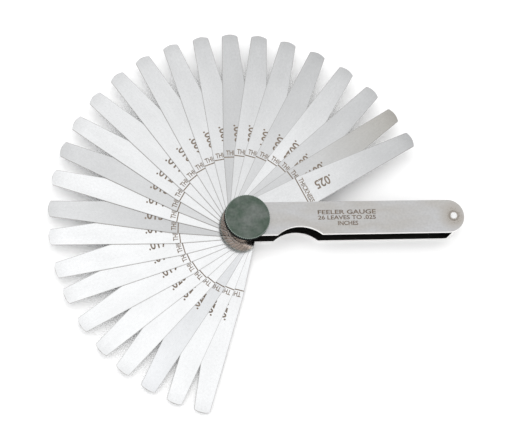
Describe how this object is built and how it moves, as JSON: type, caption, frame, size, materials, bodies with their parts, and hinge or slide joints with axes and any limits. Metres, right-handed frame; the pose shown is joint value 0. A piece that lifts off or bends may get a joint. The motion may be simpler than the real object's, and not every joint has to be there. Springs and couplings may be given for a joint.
{
  "type": "feeler gauge",
  "caption": "Pocket feeler gauge: tapered steel thickness leaves fan out about a pivot from a flat open-sided case and are held by a knurled lock nut.",
  "frame": {"origin": "on the pivot axis, in the plane of the back plate's outer face that the case rests on", "axes": "+X from the pivot to the case's round end, +Z from the resting face to the lock nut, +Y away from the finger notch"},
  "size_m": [0.1651, 0.1514, 0.0149],
  "materials": {
    "leaf_steel": "bright ground spring steel, fine lengthwise grain",
    "case_steel": "satin nickel-plated steel, dark on the inner faces",
    "spacer_steel": "satin nickel-plated steel",
    "rivet_steel": "polished steel rivet",
    "stud_steel": "plain turned steel",
    "washer_steel": "plain hardened steel",
    "nut_blued": "blued steel, dark grey-green, straight knurl"
  },
  "bodies": {
    "case": {"front_case_plate": "case_steel", "back_case_plate": "case_steel", "end_spacer": "spacer_steel", "end_rivet": "rivet_steel", "pivot_stud": "stud_steel"},
    "leaf_25_thou": {"leaf_25_thou": "leaf_steel"},
    "leaf_1_5_thou": {"leaf_1_5_thou": "leaf_steel"},
    "leaf_2_thou": {"leaf_2_thou": "leaf_steel"},
    "leaf_2_5_thou": {"leaf_2_5_thou": "leaf_steel"},
    "leaf_3_thou": {"leaf_3_thou": "leaf_steel"},
    "leaf_4_thou": {"leaf_4_thou": "leaf_steel"},
    "leaf_5_thou": {"leaf_5_thou": "leaf_steel"},
    "leaf_6_thou": {"leaf_6_thou": "leaf_steel"},
    "leaf_7_thou": {"leaf_7_thou": "leaf_steel"},
    "leaf_8_thou": {"leaf_8_thou": "leaf_steel"},
    "leaf_9_thou": {"leaf_9_thou": "leaf_steel"},
    "leaf_10_thou": {"leaf_10_thou": "leaf_steel"},
    "leaf_11_thou": {"leaf_11_thou": "leaf_steel"},
    "leaf_12_thou": {"leaf_12_thou": "leaf_steel"},
    "leaf_13_thou": {"leaf_13_thou": "leaf_steel"},
    "leaf_14_thou": {"leaf_14_thou": "leaf_steel"},
    "leaf_15_thou": {"leaf_15_thou": "leaf_steel"},
    "leaf_16_thou": {"leaf_16_thou": "leaf_steel"},
    "leaf_17_thou": {"leaf_17_thou": "leaf_steel"},
    "leaf_18_thou": {"leaf_18_thou": "leaf_steel"},
    "leaf_19_thou": {"leaf_19_thou": "leaf_steel"},
    "leaf_20_thou": {"leaf_20_thou": "leaf_steel"},
    "leaf_21_thou": {"leaf_21_thou": "leaf_steel"},
    "leaf_22_thou": {"leaf_22_thou": "leaf_steel"},
    "leaf_23_thou": {"leaf_23_thou": "leaf_steel"},
    "leaf_24_thou": {"leaf_24_thou": "leaf_steel"},
    "friction_washer": {"friction_washer": "washer_steel"},
    "lock_nut": {"knurled_lock_nut": "nut_blued"}
  },
  "joints": [
    {"name": "leaf_25_thou_swing", "type": "hinge", "parent": "case", "child": "leaf_25_thou", "pos_m": [0, 0, 0], "axis": [0, 0, 1], "range_deg": [-25, 335]},
    {"name": "leaf_1_5_thou_swing", "type": "hinge", "parent": "case", "child": "leaf_1_5_thou", "pos_m": [0, 0, 0], "axis": [0, 0, 1], "range_deg": [-34, 326]},
    {"name": "leaf_2_thou_swing", "type": "hinge", "parent": "case", "child": "leaf_2_thou", "pos_m": [0, 0, 0], "axis": [0, 0, 1], "range_deg": [-43.5, 316.5]},
    {"name": "leaf_2_5_thou_swing", "type": "hinge", "parent": "case", "child": "leaf_2_5_thou", "pos_m": [0, 0, 0], "axis": [0, 0, 1], "range_deg": [-53.5, 306.5]},
    {"name": "leaf_3_thou_swing", "type": "hinge", "parent": "case", "child": "leaf_3_thou", "pos_m": [0, 0, 0], "axis": [0, 0, 1], "range_deg": [-63.5, 296.5]},
    {"name": "leaf_4_thou_swing", "type": "hinge", "parent": "case", "child": "leaf_4_thou", "pos_m": [0, 0, 0], "axis": [0, 0, 1], "range_deg": [-73, 287]},
    {"name": "leaf_5_thou_swing", "type": "hinge", "parent": "case", "child": "leaf_5_thou", "pos_m": [0, 0, 0], "axis": [0, 0, 1], "range_deg": [-82, 278]},
    {"name": "leaf_6_thou_swing", "type": "hinge", "parent": "case", "child": "leaf_6_thou", "pos_m": [0, 0, 0], "axis": [0, 0, 1], "range_deg": [-91, 269]},
    {"name": "leaf_7_thou_swing", "type": "hinge", "parent": "case", "child": "leaf_7_thou", "pos_m": [0, 0, 0], "axis": [0, 0, 1], "range_deg": [-100, 260]},
    {"name": "leaf_8_thou_swing", "type": "hinge", "parent": "case", "child": "leaf_8_thou", "pos_m": [0, 0, 0], "axis": [0, 0, 1], "range_deg": [-109.5, 250.5]},
    {"name": "leaf_9_thou_swing", "type": "hinge", "parent": "case", "child": "leaf_9_thou", "pos_m": [0, 0, 0], "axis": [0, 0, 1], "range_deg": [-119, 241]},
    {"name": "leaf_10_thou_swing", "type": "hinge", "parent": "case", "child": "leaf_10_thou", "pos_m": [0, 0, 0], "axis": [0, 0, 1], "range_deg": [-128.5, 231.5]},
    {"name": "leaf_11_thou_swing", "type": "hinge", "parent": "case", "child": "leaf_11_thou", "pos_m": [0, 0, 0], "axis": [0, 0, 1], "range_deg": [-138, 222]},
    {"name": "leaf_12_thou_swing", "type": "hinge", "parent": "case", "child": "leaf_12_thou", "pos_m": [0, 0, 0], "axis": [0, 0, 1], "range_deg": [-147.5, 212.5]},
    {"name": "leaf_13_thou_swing", "type": "hinge", "parent": "case", "child": "leaf_13_thou", "pos_m": [0, 0, 0], "axis": [0, 0, 1], "range_deg": [-156.5, 203.5]},
    {"name": "leaf_14_thou_swing", "type": "hinge", "parent": "case", "child": "leaf_14_thou", "pos_m": [0, 0, 0], "axis": [0, 0, 1], "range_deg": [-165.5, 194.5]},
    {"name": "leaf_15_thou_swing", "type": "hinge", "parent": "case", "child": "leaf_15_thou", "pos_m": [0, 0, 0], "axis": [0, 0, 1], "range_deg": [-175, 185]},
    {"name": "leaf_16_thou_swing", "type": "hinge", "parent": "case", "child": "leaf_16_thou", "pos_m": [0, 0, 0], "axis": [0, 0, 1], "range_deg": [-183.5, 176.5]},
    {"name": "leaf_17_thou_swing", "type": "hinge", "parent": "case", "child": "leaf_17_thou", "pos_m": [0, 0, 0], "axis": [0, 0, 1], "range_deg": [-193.5, 166.5]},
    {"name": "leaf_18_thou_swing", "type": "hinge", "parent": "case", "child": "leaf_18_thou", "pos_m": [0, 0, 0], "axis": [0, 0, 1], "range_deg": [-201.5, 158.5]},
    {"name": "leaf_19_thou_swing", "type": "hinge", "parent": "case", "child": "leaf_19_thou", "pos_m": [0, 0, 0], "axis": [0, 0, 1], "range_deg": [-211, 149]},
    {"name": "leaf_20_thou_swing", "type": "hinge", "parent": "case", "child": "leaf_20_thou", "pos_m": [0, 0, 0], "axis": [0, 0, 1], "range_deg": [-220, 140]},
    {"name": "leaf_21_thou_swing", "type": "hinge", "parent": "case", "child": "leaf_21_thou", "pos_m": [0, 0, 0], "axis": [0, 0, 1], "range_deg": [-228.5, 131.5]},
    {"name": "leaf_22_thou_swing", "type": "hinge", "parent": "case", "child": "leaf_22_thou", "pos_m": [0, 0, 0], "axis": [0, 0, 1], "range_deg": [-237.5, 122.5]},
    {"name": "leaf_23_thou_swing", "type": "hinge", "parent": "case", "child": "leaf_23_thou", "pos_m": [0, 0, 0], "axis": [0, 0, 1], "range_deg": [-246, 114]},
    {"name": "leaf_24_thou_swing", "type": "hinge", "parent": "case", "child": "leaf_24_thou", "pos_m": [0, 0, 0], "axis": [0, 0, 1], "range_deg": [-254.5, 105.5]},
    {"name": "washer_lift", "type": "slide", "parent": "case", "child": "friction_washer", "axis": [0, 0, 1], "range_m": [0, 0.000349]},
    {"name": "lock_nut_turn", "type": "hinge", "parent": "friction_washer", "child": "lock_nut", "pos_m": [0, 0, 0], "axis": [0, 0, 1], "range_deg": [0, 180]}
  ],
  "couplings": [
    {"joint": "lock_nut_turn", "follows": "washer_lift", "rad_per_m": 8976}
  ]
}
